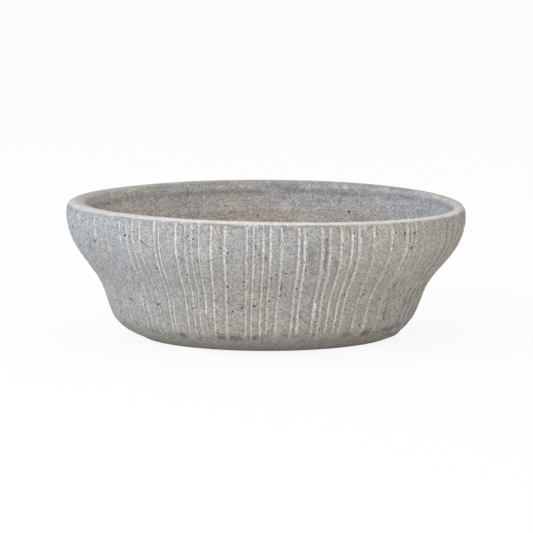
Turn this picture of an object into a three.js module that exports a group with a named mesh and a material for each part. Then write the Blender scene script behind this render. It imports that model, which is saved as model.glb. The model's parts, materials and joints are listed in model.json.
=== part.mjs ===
// A low concrete bowl planter: a wide casting with an S-shaped wall and hand-cut upright grooves,
// a rubber stopper in its drain hole and four rubber pads under its foot ring.
// Millimetres, +Z up, the front of the bowl towards -Y, the pads standing on z = 0.

import * as THREE from 'three';

// ---- driving dimensions ------------------------------------------------------------------------

const bowlRadius = 200;      // widest, at the shoulder just under the rim
const bowlHeight = 133.5;    // the casting alone, from its foot ring to the crest of its rim
const footRadius = 125;      // outer edge of the ring that the bowl stands on
const footRingWidth = 25;    // flat ring under the bowl
const dishDepth = 3;         // how far the underside is raised inside that ring
const floorThickness = 14;   // concrete between the raised underside and the inside floor
const rimWall = 16.8;        // mean wall thickness at the rim

const padRadius = 7.5;
const padInset = 1;          // from the ring's inner edge to the pads
const padThickness = 1.5;
const padCount = 4;
const seatGap = 0.3;         // clearance kept between pieces that rest on each other

const drainRadius = 12;
const plugFlangeRadius = 17;
const plugFlangeThickness = 3.2;
const plugShankLength = 10;
const plugKnobRadius = 7;
const plugKnobHeight = 8;

// The bowl is made by hand, so it isn't quite true.
const waistShift = -2.2;     // the waist sits this far along X from the rim's centre
const heelShift = 3.1;       // the ring it stands on sits this far along X from the waist
const coreShift = 4;         // the inside is this far along X from the outside, so the wall varies
const rimTilt = 2.6;         // the rim leans: higher at the left of the front, lower opposite
const rimTiltAngle = -60;    // direction of its highest side, in degrees from the front
const rimWarp = 1.3;         // the rim also rises twice and falls twice on its way round
const rimWarpAngle = -20;

const grooveDepth = 1.3;
const grooveTop = 130.5;     // upper end of the grooves, above the foot ring
const grooveBottom = 13;     // lower end of the grooves, above the foot ring
const grooveRunOut = 4.5;    // height over which a groove comes up to the surface at its ends

const plainColumns = 96;     // facets round the smooth parts of the bowl
const smallColumns = 32;     // facets round the drain hole and the small pieces

const footHeight = padThickness + seatGap;
const undersideHeight = footHeight + dishDepth;
const floorHeight = undersideHeight + floorThickness;

// Grooves on the front of the bowl, cut by eye and often in pairs: the angle under the rim and at
// the foot, in degrees from the front (-Y) towards +X, and the width in mm.
const frontGrooves = [
  [-65.2, -67.4, 3.2], [-61.5, -65.4, 2.8], [-57.7, -61.8, 3.4], [-54.7, -59.1, 3.0],
  [-51.9, -56.1, 2.8], [-45.8, -49.0, 3.4], [-43.1, -46.4, 3.2], [-40.9, -43.4, 2.6],
  [-38.3, -40.7, 3.0], [-33.2, -36.2, 3.4], [-31.7, -34.5, 2.8], [-26.3, -28.9, 3.4],
  [-23.3, -26.2, 3.2], [-21.5, -23.8, 3.2], [-19.2, -21.4, 2.6], [-15.6, -18.5, 3.2],
  [-11.7, -14.0, 3.8], [-5.5, -7.0, 3.2], [-3.5, -5.0, 2.8], [-0.8, -1.8, 2.8],
  [1.1, 0.6, 3.2], [4.2, 4.0, 4.0], [9.0, 9.6, 3.4], [10.6, 11.8, 3.4],
  [15.6, 17.5, 4.0], [17.9, 20.0, 3.8], [21.3, 23.0, 3.4], [24.6, 26.3, 3.0],
  [26.9, 28.8, 3.8], [31.6, 34.5, 4.0], [37.7, 39.7, 4.0], [43.5, 46.0, 3.8],
  [45.5, 48.1, 3.0], [47.1, 51.5, 2.8], [50.4, 55.8, 3.0], [59.2, 60.7, 3.2],
  [63.6, 65.2, 3.4], [67.8, 69.4, 3.2],
];
const backGrooveCount = 62;  // the same hand carries on round the back

// ---- outlines, as [radius, height above the foot ring] ------------------------------------------

// The outside, from the foot ring up: a rounded foot, a waist, and a bulging shoulder.
const footCurve = [[footRadius, 0], [130.2, 0.9], [149, 14], [151.3, 20.8]];
const waistCurve = [[151.3, 20.8], [161.1, 41.6], [158.7, 48.8], [174.7, 68.2]];
const shoulderCurve = [[174.7, 68.2], [190.6, 87.6], [bowlRadius, 100.8], [bowlRadius, 124]];
const rimOuterCurve = [[bowlRadius, 124], [bowlRadius, 129.5], [196.8, bowlHeight], [191.5, bowlHeight]];

// The inside, from the rim down: a rounded lip, a wall that follows the outside, and a flat floor.
const innerRimRadius = bowlRadius - rimWall;
const insideFloor = dishDepth + floorThickness;
const rimInnerCurve = [[191.5, bowlHeight], [187, bowlHeight], [innerRimRadius, 131.5], [innerRimRadius, 127]];
const innerWallCurve = [[innerRimRadius, 127], [183.5, 88], [157, 78], [144, 42]];
const innerFilletCurve = [[144, 42], [138, 26], [134, insideFloor], [112, insideFloor]];

function curvePoint(curve, t) {
  const points = curve.map(([r, z]) => new THREE.Vector2(r, z));
  return new THREE.CubicBezierCurve(...points).getPoint(t);
}

// ---- the handmade shape --------------------------------------------------------------------------

const radians = THREE.MathUtils.degToRad;

function smoothStep(low, high, value) {
  return THREE.MathUtils.smoothstep(value, low, high);
}

// How much the rim stands above or below its mean height at an angle, in mm.
function rimLift(angle) {
  const tilt = rimTilt * Math.cos(angle - radians(rimTiltAngle));
  return tilt + rimWarp * Math.cos(2 * (angle - radians(rimWarpAngle)));
}

// Places a point of an outline round the bowl. Heights are above the foot ring.
function placePoint(angle, radius, height, inside) {
  const lift = rimLift(angle) * smoothStep(30, bowlHeight, height);
  const waist = waistShift * (1 - smoothStep(20, 95, height));
  const heel = heelShift * (1 - (inside ? smoothStep(20, 45, height) : smoothStep(3, 8, height)));
  const core = inside ? coreShift * smoothStep(20, 110, height) : 0;
  return [
    radius * Math.sin(angle) + waist + heel + core,
    -radius * Math.cos(angle),
    footHeight + height + lift,
  ];
}

// All the grooves in order round the bowl: the front ones, then an uneven row over the back.
function grooveList() {
  const first = frontGrooves[0];
  const last = frontGrooves[frontGrooves.length - 1];
  const gaps = [];
  for (let i = 0; i <= backGrooveCount; i++) {
    gaps.push(1 + 0.42 * Math.sin(2.4 * i + 0.5) + 0.22 * Math.sin(5.3 * i));
  }
  const open = 360 + first[0] - last[0];
  const unit = open / gaps.reduce((sum, gap) => sum + gap, 0);
  const grooves = frontGrooves.map((groove) => [...groove]);
  let angle = last[0];
  for (let i = 0; i < backGrooveCount; i++) {
    angle += gaps[i] * unit;
    const lean = 1.1 * Math.sin(0.7 * i);
    grooves.push([angle, angle + lean, 3.2 + 0.6 * Math.sin(1.7 * i)]);
  }
  return grooves;
}

// A groove's centre at a height: it leans as the cutter's hand drifts on the way down.
function grooveAngle([top, bottom], height) {
  return radians(THREE.MathUtils.lerp(bottom, top, smoothStep(grooveBottom, grooveTop, height)));
}

function grooveDepthAt(height) {
  const fromBottom = (height - grooveBottom) / grooveRunOut;
  const fromTop = (grooveTop - height) / grooveRunOut;
  return grooveDepth * THREE.MathUtils.clamp(Math.min(fromBottom, fromTop), 0, 1);
}

// ---- rings of points round the bowl --------------------------------------------------------------

// A ring is a list of { angle, at } in order of angle; rings are stitched one to the next. All
// start beside the first groove, so that their ends meet.
function plainRing([radius, height], columns, inside = false) {
  return Array.from({ length: columns }, (_, i) => {
    const angle = radians(frontGrooves[0][0]) + (2 * Math.PI * i) / columns;
    return { angle, at: placePoint(angle, radius, height, inside) };
  });
}

// A ring through the grooves: a near lip, the groove's floor and a far lip for each of them.
function groovedRing(grooves, { x: radius, y: height }) {
  const depth = grooveDepthAt(height);
  const centres = grooves.map((groove) => grooveAngle(groove, height));
  const ring = [];
  grooves.forEach(([, , width], i) => {
    const before = i ? centres[i - 1] : centres[centres.length - 1] - 2 * Math.PI;
    const after = i + 1 < centres.length ? centres[i + 1] : centres[0] + 2 * Math.PI;
    const room = 0.42 * Math.min(centres[i] - before, after - centres[i]);
    const halfWidth = Math.min((0.6 * width) / radius, room);
    for (const [side, cut] of [[-1, 0], [0, depth], [1, 0]]) {
      const angle = centres[i] + side * halfWidth;
      ring.push({ angle, at: placePoint(angle, radius - cut, height, false) });
    }
  });
  return ring;
}

// Triangles between two rings, which may have different numbers of points.
function stitch(lower, upper, addTriangle) {
  const turn = 2 * Math.PI;
  const pointOf = (ring, i) => ring[i % ring.length];
  const angleOf = (ring, i) => pointOf(ring, i).angle + turn * Math.floor(i / ring.length);
  let start = 0;
  while (angleOf(upper, start + 1) <= lower[0].angle) start++;
  let i = 0;
  let j = start;
  while (i < lower.length || j < start + upper.length) {
    const lowerDone = i >= lower.length;
    const upperDone = j >= start + upper.length;
    const lowerNext = (angleOf(lower, i) + angleOf(lower, i + 1)) / 2;
    const upperNext = (angleOf(upper, j) + angleOf(upper, j + 1)) / 2;
    if (upperDone || (!lowerDone && lowerNext <= upperNext)) {
      addTriangle(pointOf(lower, i), pointOf(lower, i + 1), pointOf(upper, j));
      i++;
    } else {
      addTriangle(pointOf(lower, i), pointOf(upper, j + 1), pointOf(upper, j));
      j++;
    }
  }
}

function ringsToGeometry(rings) {
  const positions = [];
  const indices = [];
  for (const ring of rings) {
    for (const point of ring) {
      point.index = positions.length / 3;
      positions.push(...point.at);
    }
  }
  const addTriangle = (a, b, c) => indices.push(a.index, b.index, c.index);
  rings.forEach((ring, i) => stitch(ring, rings[(i + 1) % rings.length], addTriangle));
  const geometry = new THREE.BufferGeometry();
  geometry.setAttribute('position', new THREE.Float32BufferAttribute(positions, 3));
  geometry.setIndex(indices);
  geometry.computeVertexNormals();
  return geometry;
}

// ---- the pieces ----------------------------------------------------------------------------------

function makeBowlGeometry() {
  const grooves = grooveList();
  const ringInner = footRadius - footRingWidth;
  const along = (curve, steps) => steps.map((t) => curvePoint(curve, t));
  const plain = (points, inside) => points.map(({ x, y }) => plainRing([x, y], plainColumns, inside));

  const underside = [
    plainRing([drainRadius, dishDepth], smallColumns),
    plainRing([60, dishDepth], 48),
    plainRing([ringInner - 4, dishDepth], 48),
    plainRing([ringInner, 0], plainColumns),
  ];
  const foot = plain(along(footCurve, [0, 0.3, 0.55]), false);
  const wall = [
    ...along(footCurve, [0.7, 0.86, 1]),
    ...along(waistCurve, [0.25, 0.5, 0.75, 1]),
    ...along(shoulderCurve, [0.25, 0.5, 0.75, 0.97]),
    ...along(rimOuterCurve, [0.2]),
  ].map((point) => groovedRing(grooves, point));
  const rim = [
    ...plain(along(rimOuterCurve, [0.5, 0.75, 1]), false),
    ...plain(along(rimInnerCurve, [0.4, 1]), true),
  ];
  const inside = [
    ...plain(along(innerWallCurve, [0.2, 0.4, 0.6, 0.8, 1]), true),
    ...plain(along(innerFilletCurve, [0.33, 0.66, 1]), true),
    plainRing([plugFlangeRadius + 20, insideFloor], 48, true),
    plainRing([drainRadius, insideFloor], smallColumns, true),
  ];
  return ringsToGeometry([...underside, ...foot, ...wall, ...rim, ...inside]);
}

// A rubber stopper: a tapered shank, a flange that lies on the floor, and a knob to pull it by.
function makeDrainPlugGeometry() {
  const flangeTop = plugFlangeThickness;
  const knobTop = flangeTop + plugKnobHeight;
  const shankRadius = drainRadius - 0.5;
  const outline = [
    [0, -plugShankLength],
    [shankRadius - 1.6, -plugShankLength],
    [shankRadius - 0.6, -plugShankLength + 1.2],
    [shankRadius, 0],
    [plugFlangeRadius - 0.6, 0],
    [plugFlangeRadius, 0.6],
    [plugFlangeRadius, flangeTop - 1.2],
    [plugFlangeRadius - 1.2, flangeTop],
    [plugKnobRadius - 1.4, flangeTop],
    [plugKnobRadius - 2, flangeTop + 2.4],
    [plugKnobRadius, knobTop - 2.6],
    [plugKnobRadius - 1, knobTop - 0.8],
    [plugKnobRadius - 3, knobTop],
    [0, knobTop],
  ];
  return new THREE.LatheGeometry(outline.map(([r, z]) => new THREE.Vector2(r, z)), smallColumns);
}

function makeFootPadGeometry() {
  const outline = [
    [0, 0],
    [padRadius - 0.5, 0],
    [padRadius, 0.5],
    [padRadius, padThickness],
    [0, padThickness],
  ];
  return new THREE.LatheGeometry(outline.map(([r, z]) => new THREE.Vector2(r, z)), 24);
}

function namedMesh(name, geometry, material) {
  const mesh = new THREE.Mesh(geometry, material);
  mesh.name = name;
  return mesh;
}

const concrete = new THREE.MeshStandardMaterial({ color: 0xa9a59f, roughness: 0.95, metalness: 0 });
const plugRubber = new THREE.MeshStandardMaterial({ color: 0x2b2b2a, roughness: 0.75, metalness: 0 });
const padRubber = new THREE.MeshStandardMaterial({ color: 0x3a3836, roughness: 0.85, metalness: 0 });

// A lathe turns about +Y, so its pieces are stood up on +Z.
function standUp(mesh, x, y, z) {
  mesh.rotation.x = Math.PI / 2;
  mesh.position.set(x, y, z);
  return mesh;
}

function makePlanter() {
  const planter = new THREE.Group();
  planter.add(namedMesh('bowl', makeBowlGeometry(), concrete));

  const middle = waistShift + heelShift;
  const plug = namedMesh('drain_plug', makeDrainPlugGeometry(), plugRubber);
  planter.add(standUp(plug, middle, 0, floorHeight + seatGap));

  const padCircle = footRadius - footRingWidth + padInset + padRadius;
  for (let i = 0; i < padCount; i++) {
    const angle = radians(45 + (360 / padCount) * i);
    const pad = namedMesh(`foot_pad_${i + 1}`, makeFootPadGeometry(), padRubber.clone());
    const x = middle + padCircle * Math.sin(angle);
    planter.add(standUp(pad, x, -padCircle * Math.cos(angle), 0));
  }
  return planter;
}

export default makePlanter();
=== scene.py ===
"""A hand-cast concrete bowl planter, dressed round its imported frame.

The file is laid out as a Blender add-on and run as a script. Outlines are in millimetres, as a
maker would draw them, and become metres when a mesh is made.
"""

import itertools
import json
import math

import bpy
import numpy as np
from bpy.props import FloatProperty, FloatVectorProperty, IntProperty, PointerProperty
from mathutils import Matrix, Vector


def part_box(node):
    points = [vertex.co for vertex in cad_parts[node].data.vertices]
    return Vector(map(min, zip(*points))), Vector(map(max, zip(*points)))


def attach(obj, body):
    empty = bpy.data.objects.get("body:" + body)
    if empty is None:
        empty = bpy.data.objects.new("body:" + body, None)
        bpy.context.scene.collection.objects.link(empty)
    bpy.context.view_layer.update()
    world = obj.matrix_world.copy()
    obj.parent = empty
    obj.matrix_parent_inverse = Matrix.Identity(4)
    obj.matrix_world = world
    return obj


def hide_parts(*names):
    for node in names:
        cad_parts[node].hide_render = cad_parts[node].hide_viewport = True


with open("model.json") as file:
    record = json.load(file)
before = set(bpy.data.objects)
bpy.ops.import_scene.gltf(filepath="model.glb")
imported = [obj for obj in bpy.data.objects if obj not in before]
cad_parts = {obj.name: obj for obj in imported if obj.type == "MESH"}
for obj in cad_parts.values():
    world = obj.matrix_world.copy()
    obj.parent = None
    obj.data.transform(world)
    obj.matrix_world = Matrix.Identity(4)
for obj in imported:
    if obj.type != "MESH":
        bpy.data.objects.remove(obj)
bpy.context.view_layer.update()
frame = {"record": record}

bl_info = {
    "name": "Concrete bowl planter",
    "version": (1, 0, 0),
    "blender": (4, 5, 0),
    "location": "3D View > Sidebar > Planter",
    "description": "Casts a grooved concrete bowl planter with its stopper, pads and studio",
    "category": "Add Mesh",
}

MM = 0.001
TURN = 2 * math.pi

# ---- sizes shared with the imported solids, in millimetres ----

BOWL_RADIUS = 200.0
BOWL_HEIGHT = 133.5
FOOT_HEIGHT = 1.8            # pads and their glue, under the foot ring
DRAIN_RADIUS = 12.0
DISH_RADIUS = 96.0           # the underside is hollowed this far out
DISH_DEPTH = 3.0
INSIDE_FLOOR = 17.0
RING_RADIUS = 100.0          # the foot ring stands between these two radii
FOOT_RADIUS = 125.0
WAIST_SHIFT = -2.2           # the waist sits this far along X from the rim's centre
HEEL_SHIFT = 3.1             # and the ring that it stands on this far from the waist
CORE_SHIFT = 4.0             # the inside is this far along X from the outside
RIM_TILT = 2.6               # the rim leans to one side and is bent a little like a saddle
RIM_TILT_ANGLE = math.radians(-60)
RIM_WARP = 1.3
RIM_WARP_ANGLE = math.radians(-20)
GROOVE_TOP = 130.5
GROOVE_BOTTOM = 13.0
GROOVE_RUN_OUT = 4.5

# Cubic curves as [radius, height above the foot ring], from the foot ring up and over the rim.
FOOT_CURVE = [[FOOT_RADIUS, 0], [130.2, 0.9], [149, 14], [151.3, 20.8]]
WAIST_CURVE = [[151.3, 20.8], [161.1, 41.6], [158.7, 48.8], [174.7, 68.2]]
SHOULDER_CURVE = [[174.7, 68.2], [190.6, 87.6], [200, 100.8], [200, 124]]
RIM_OUTER_CURVE = [[200, 124], [200, 129.5], [196.8, 133.5], [191.5, 133.5]]
RIM_INNER_CURVE = [[191.5, 133.5], [187, 133.5], [183.2, 131.5], [183.2, 127]]
INNER_WALL_CURVE = [[183.2, 127], [183.5, 88], [157, 78], [144, 42]]
INNER_FILLET_CURVE = [[144, 42], [138, 26], [134, 17], [112, 17]]

# Grooves on the front: the angle under the rim and at the foot, in degrees from the front towards
# +X, and the width in millimetres.
FRONT_GROOVES = [
    (-65.2, -67.4, 3.2), (-61.5, -65.4, 2.8), (-57.7, -61.8, 3.4), (-54.7, -59.1, 3.0),
    (-51.9, -56.1, 2.8), (-45.8, -49.0, 3.4), (-43.1, -46.4, 3.2), (-40.9, -43.4, 2.6),
    (-38.3, -40.7, 3.0), (-33.2, -36.2, 3.4), (-31.7, -34.5, 2.8), (-26.3, -28.9, 3.4),
    (-23.3, -26.2, 3.2), (-21.5, -23.8, 3.2), (-19.2, -21.4, 2.6), (-15.6, -18.5, 3.2),
    (-11.7, -14.0, 3.8), (-5.5, -7.0, 3.2), (-3.5, -5.0, 2.8), (-0.8, -1.8, 2.8),
    (1.1, 0.6, 3.2), (4.2, 4.0, 4.0), (9.0, 9.6, 3.4), (10.6, 11.8, 3.4),
    (15.6, 17.5, 4.0), (17.9, 20.0, 3.8), (21.3, 23.0, 3.4), (24.6, 26.3, 3.0),
    (26.9, 28.8, 3.8), (31.6, 34.5, 4.0), (37.7, 39.7, 4.0), (43.5, 46.0, 3.8),
    (45.5, 48.1, 3.0), (47.1, 51.5, 2.8), (50.4, 55.8, 3.0), (59.2, 60.7, 3.2),
    (63.6, 65.2, 3.4), (67.8, 69.4, 3.2),
]
BACK_GROOVES = 62

# ---- marks of the casting, placed by degrees from the front and height above the foot ring ----

# Air holes that show from a step away, as (degrees, height, radius), outside and inside.
LARGE_PITS = [
    (-12.2, 69, 1.3), (-7.8, 47, 1.2), (-3.5, 49, 1.2), (1.5, 54, 1.1), (10.2, 67, 1.2),
    (27.8, 58, 1.5), (42.8, 118.5, 1.6), (-74.8, 113.5, 2.4), (-55.2, 46, 1.9), (-37.9, 112, 1.2),
    (-40.4, 45, 1.2), (67.4, 51, 1.2), (59, 15.5, 1.5), (-25.7, 44, 1), (61.4, 70, 1.1),
    (5.9, 84, 1.2), (3.2, 83, 1), (-65.1, 123, 1.9), (46.9, 118, 1.5), (46.3, 102.5, 1.2),
    (-43.8, 116.3, 1.3), (-59, 105, 1.5), (-63.7, 98, 1.5),
]
INNER_PITS = [(153, 103, 1.3), (-116.5, 121, 1.3)]
# Smaller ones on the outside, as (degrees, height).
SMALL_PITS = [
    (-8.4, 62), (-11.1, 43), (-12.9, 49), (-17.9, 20), (-19.4, 73), (-17.6, 74), (-24.5, 46),
    (-29.2, 69), (-37.7, 26), (-26, 72), (-21.3, 61), (-19.3, 96), (-20.2, 96), (-12.9, 110),
    (-13.2, 118), (-20.7, 118), (-25.2, 122), (-4.8, 90), (-5.2, 71), (-4.5, 115), (0, 100),
    (6.8, 64), (5.5, 46), (-0.3, 69), (-2.9, 112), (2.8, 58), (14.5, 72), (15.8, 39), (19.6, 37),
    (20.8, 62), (30.7, 100), (32.6, 68), (30.4, 52), (33.8, 44), (36.5, 67), (35.5, 57),
    (48, 119), (47.8, 104), (51.6, 64), (62, 42), (44, 50), (60.3, 81), (41.2, 38), (37.7, 25),
    (-42.2, 115.8), (-67.8, 89.4), (-54.9, 53), (-50.4, 59), (-52.1, 66), (-46.2, 81),
    (-44.5, 64), (-60, 35), (-45.7, 118.6), (-58.6, 78), (-66.5, 62), (-49, 77), (-57.4, 62),
    (-40.2, 121.2), (-28.4, 88.7), (-23.2, 119), (-22.3, 120.4),
]
# Dark smears, as (degrees, height, degrees, height, half width, strength) from end to end. The stroke
# from 8.7 to 18.5 degrees under the front rim is a painted shadow.
SMEARS_AND_SHADOW = [
    (-3.3, 115, -2.8, 111, 1.2, 1), (-2.3, 129.5, -0.9, 129.5, 1.5, 1), (-0.1, 101, 0, 99, 1.2, 0.8),
    (10, 115, 10.7, 94, 0.9, 1), (10.9, 131, 10.8, 126, 1, 0.9), (12.8, 107, 14.1, 84, 4.2, 0.45),
    (12.1, 113, 12.5, 96, 1.3, 0.6), (17.4, 117, 17.1, 86, 1.7, 1), (48.3, 51, 49.7, 28, 1.5, 1),
    (57, 9.5, 68, 5.5, 1.2, 0.9), (42.8, 124, 42.5, 117, 1.2, 0.8), (-37.5, 111, -36.1, 108, 1.7, 1),
    (20, 99, 22, 82, 1.8, 0.8), (25.2, 92, 25.6, 76, 1.5, 0.7), (-25.4, 97, -25, 92, 2, 0.6),
    (-7.8, 131, -6.4, 131, 1.2, 0.8), (-10.4, 108, -9.5, 101, 0.9, 0.5),
    (-39.5, 112.5, -38, 113.5, 1.5, 0.7), (-32.2, 115, -32.4, 107, 0.9, 0.8),
    (-62.8, 127, -62.6, 125, 1.3, 0.9), (11, 34, 11.2, 51, 1.2, 0.7), (12.8, 38, 17, 28, 1, 0.7),
    (52.8, 28, 52.6, 34, 1, 0.6), (-22.9, 112, -23.3, 124, 1, 0.7), (46.9, 119.5, 46.9, 117, 1.2, 0.8),
    (46.1, 103.5, 46.1, 101, 1.2, 0.8), (27, 75, 26.6, 96, 1.1, 0.5),
    # The first stroke here, under the front rim, is a painted shadow.
    (8.7, 131.6, 18.5, 130.6, 1.3, 0.6), (79.5, 127, 79.5, 120, 3, 1),
    (-79.7, 130.7, -68, 131.7, 1.6, 0.8),
]
# Dark scratches inside, and pale chips and scuffs along the lip, in the same form. The wide, faint
# strokes of the dark list, at about 120 to 127 mm under the lip, are painted shade. In each list the
# stroke that starts at -178 degrees runs the long way round, as a faint band.
INNER_SMEARS_AND_SHADE = [
    (-152.5, 126, -152.5, 117, 1.2, 1), (-149.5, 121.8, -155.5, 121.4, 1.2, 1),
    (-134, 128.5, -141, 130, 1, 0.6), (-141, 130, -149, 128.5, 1.1, 0.8),
    (-158, 130.4, -162, 131, 1.1, 1), (-131.5, 127, -145, 120, 3.5, 0.2),
    (-164, 123, -178, 121.5, 3.6, 0.25), (-178, 121, 175, 122, 2.8, 0.5),
    (177, 123, 168, 123.3, 1.2, 0.6), (170, 121.5, 160, 121, 2.2, 0.35),
    (161, 120.6, 152.5, 119.4, 1.1, 0.7), (152.5, 119.4, 144, 118.4, 1.2, 1),
    (139.5, 119.5, 133.5, 118.6, 1.7, 0.9), (132.5, 122.8, 130.5, 123, 1.2, 0.9),
    (127, 122, 124.5, 121.5, 1.1, 0.7), (-167, 101.3, -172.5, 101.3, 1.2, 0.9),
    (-158, 95.8, -165, 95.2, 1, 0.9), (149, 124, 140, 120, 3, 0.5),
]
CHIPS = [
    (-124.5, 131.5, -127, 130.2, 1, 0.8), (-127, 129.8, -129, 129, 1, 1),
    (-129.5, 130.5, -133, 130.6, 0.9, 0.7), (-149, 123.4, -151.5, 123.6, 0.9, 0.5),
    (-154.5, 123.6, -157, 127, 0.9, 0.55), (-157, 127, -161, 128.3, 1, 0.65),
    (-161, 128.2, -178, 126.6, 1.7, 0.55), (-178, 127.4, 170, 127.4, 2.2, 0.45),
    (170, 127, 159, 126, 1.6, 0.35), (143.5, 117, 141.5, 113.5, 1.5, 0.5),
    (140, 114.5, 136.5, 109.5, 1.8, 0.35), (134, 116, 128.5, 117.3, 1.4, 0.4),
    (123, 124, 114, 126, 1, 0.4),
]
RIM_EDGE = 130.95            # height at which the limed rim starts on the outside
RIM_FLAT_FROM = 130.9        # and above which its front is pressed flatter
FOOT_BAND = (9.5, 14.5)      # heights between which the plain band at the foot fades out


def smooth(low, high, value):
    """0 below low, 1 above high and an easy curve between."""
    share = np.clip((value - low) / (high - low), 0, 1)
    return share * share * (3 - 2 * share)


def hump(value, middle, width):
    """1 at a middle value, and easily down to 0 on both sides of it."""
    return np.exp(-((value - middle) / width) ** 2)


def turn_from(middle, angle):
    """How far an angle is from a middle one, within half a turn either way."""
    return (angle - middle + math.pi) % TURN - math.pi


def soft_noise(points, cell, seed):
    """Smooth noise from -1 to 1 at an (n, 3) array of points, with lumps about one cell across."""
    size = 32
    table = np.random.default_rng(seed).uniform(-1, 1, (size, size, size))
    where = points / cell
    low = np.floor(where).astype(int)
    part = where - low
    part = part * part * (3 - 2 * part)
    total = np.zeros(len(points))
    for corner in itertools.product((0, 1), repeat=3):
        weight = np.prod(np.where(corner, part, 1 - part), axis=1)
        x, y, z = ((low + corner) % size).T
        total += weight * table[x, y, z]
    return total


# ---- the bowl's outline ----

class Outline:
    """A polyline through cubic curves and corners, read by the length along it."""

    def __init__(self, curves):
        points = []
        for curve in curves:
            points += self.sample(np.array(curve, float))
        keep = [points[0]]
        keep += [b for a, b in zip(points, points[1:]) if np.hypot(*(b - a)) > 1e-6]
        self.points = np.array(keep)
        steps = np.hypot(*np.diff(self.points, axis=0).T)
        self.along = np.concatenate([[0], np.cumsum(steps)])
        self.length = self.along[-1]

    @staticmethod
    def sample(curve, steps=48):
        """Points along a cubic curve; corners stay as they are."""
        if len(curve) != 4:
            return list(curve)
        t = np.linspace(0, 1, steps)[:, None]
        a, b, c, d = curve
        return list(a * (1 - t) ** 3 + 3 * b * t * (1 - t) ** 2 + 3 * c * t * t * (1 - t) + d * t ** 3)

    def point(self, along):
        """Radius and height at lengths along the outline."""
        return [np.interp(along, self.along, values) for values in self.points.T]

    def outward(self, along, step=0.4):
        """The outward direction at lengths along the outline, as its radius and height parts."""
        dr, dh = np.subtract(self.point(along + step), self.point(along - step))
        size = np.maximum(np.hypot(dr, dh), 1e-9)
        return dh / size, -dr / size

    def length_to(self, radius, height):
        """The length along the outline of its point nearest to one given."""
        gaps = np.hypot(self.points[:, 0] - radius, self.points[:, 1] - height)
        return self.along[int(gaps.argmin())]


BOWL_OUTLINE = Outline([
    FOOT_CURVE, WAIST_CURVE, SHOULDER_CURVE, RIM_OUTER_CURVE, RIM_INNER_CURVE, INNER_WALL_CURVE,
    INNER_FILLET_CURVE, [[DRAIN_RADIUS, INSIDE_FLOOR], [DRAIN_RADIUS, DISH_DEPTH]],
    [[DISH_RADIUS, DISH_DEPTH], [RING_RADIUS, 0]], [[FOOT_RADIUS, 0]],
])
RIM_CREST = BOWL_OUTLINE.length_to(191.5, 133.5)
INNER_LIP = BOWL_OUTLINE.length_to(187.0, 132.9)
WALL_START = BOWL_OUTLINE.length_to(137, 4.6)
WALL_END = BOWL_OUTLINE.length_to(198.4, 130.7)
FLOOR_EDGE = BOWL_OUTLINE.length_to(112, 17)
HOLE_TOP = BOWL_OUTLINE.length_to(DRAIN_RADIUS, INSIDE_FLOOR)
HOLE_FOOT = BOWL_OUTLINE.length_to(DRAIN_RADIUS, DISH_DEPTH)
RING_INNER = BOWL_OUTLINE.length_to(RING_RADIUS, 0)
MAP_SEAM = math.radians(80)  # the flat map is cut here and opposite


def lift_at(angle, height):
    """How far the uneven rim carries a point above its height on the outline."""
    lean = RIM_TILT * np.cos(angle - RIM_TILT_ANGLE)
    warp = RIM_WARP * np.cos(2 * (angle - RIM_WARP_ANGLE))
    return (lean + warp) * smooth(30, BOWL_HEIGHT, height)


def place(angle, radius, height, core):
    """Points of the handmade shape, in metres; core is 1 on the inside of the bowl."""
    waist = WAIST_SHIFT * (1 - smooth(20, 95, height))
    settled = np.where(core > 0.5, smooth(20, 45, height), smooth(3, 8, height))
    heel = HEEL_SHIFT * (1 - settled)
    inside = CORE_SHIFT * core * smooth(20, 110, height)
    x = radius * np.sin(angle) + waist + heel + inside
    y = -radius * np.cos(angle)
    return np.stack([x, y, FOOT_HEIGHT + height + lift_at(angle, height)], axis=1) * MM


def wall_length(angle, height, inside_wall=False):
    """Length along the outline of a measured height on the outside wall or the inside one."""
    outside = BOWL_OUTLINE.along <= RIM_CREST
    within = ~outside & (BOWL_OUTLINE.along < FLOOR_EDGE)
    chosen, up = (within, -1) if inside_wall else (outside, 1)
    level = height - lift_at(angle, height)
    return float(np.interp(up * level, up * BOWL_OUTLINE.points[chosen, 1], BOWL_OUTLINE.along[chosen]))


# ---- the grooves ----

def groove_rows():
    """Every groove in order round the bowl, as arrays of top angle, bottom angle and width."""
    first, last = FRONT_GROOVES[0][0], FRONT_GROOVES[-1][0]
    count = np.arange(BACK_GROOVES + 1)
    gaps = 1 + 0.42 * np.sin(2.4 * count + 0.5) + 0.22 * np.sin(5.3 * count)
    gaps *= (360 + first - last) / gaps.sum()
    back = last + np.cumsum(gaps[:-1])
    lean = 1.1 * np.sin(0.7 * count[:-1])
    width = 3.2 + 0.6 * np.sin(1.7 * count[:-1])
    tops, bottoms, widths = np.append(FRONT_GROOVES, np.stack([back, back + lean, width], 1), 0).T
    return np.radians(tops), np.radians(bottoms), widths


TOPS, BOTTOMS, WIDTHS = groove_rows()


def groove_lines(height, radius):
    """Centre and half width of every groove, in radians, at each of some heights."""
    share = smooth(GROOVE_BOTTOM, GROOVE_TOP, height)[:, None]
    centres = BOTTOMS + (TOPS - BOTTOMS) * share
    after = np.roll(centres, -1, axis=1)
    after[:, -1] += TURN
    gap = after - centres
    room = 0.42 * np.minimum(gap, np.roll(gap, 1, axis=1))
    half = np.minimum(0.6 * WIDTHS / radius[:, None], room)
    return centres, half


def nearest_groove(angle, height, radius):
    """How far across the nearest groove a point lies, -1 and 1 at its lips, and which one it is."""
    centres, half = groove_lines(height, radius)
    across = turn_from(centres, angle[:, None]) / half
    which = np.abs(across).argmin(axis=1)
    return across[np.arange(len(angle)), which], which


# ---- rings and faces of the casting ----

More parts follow.
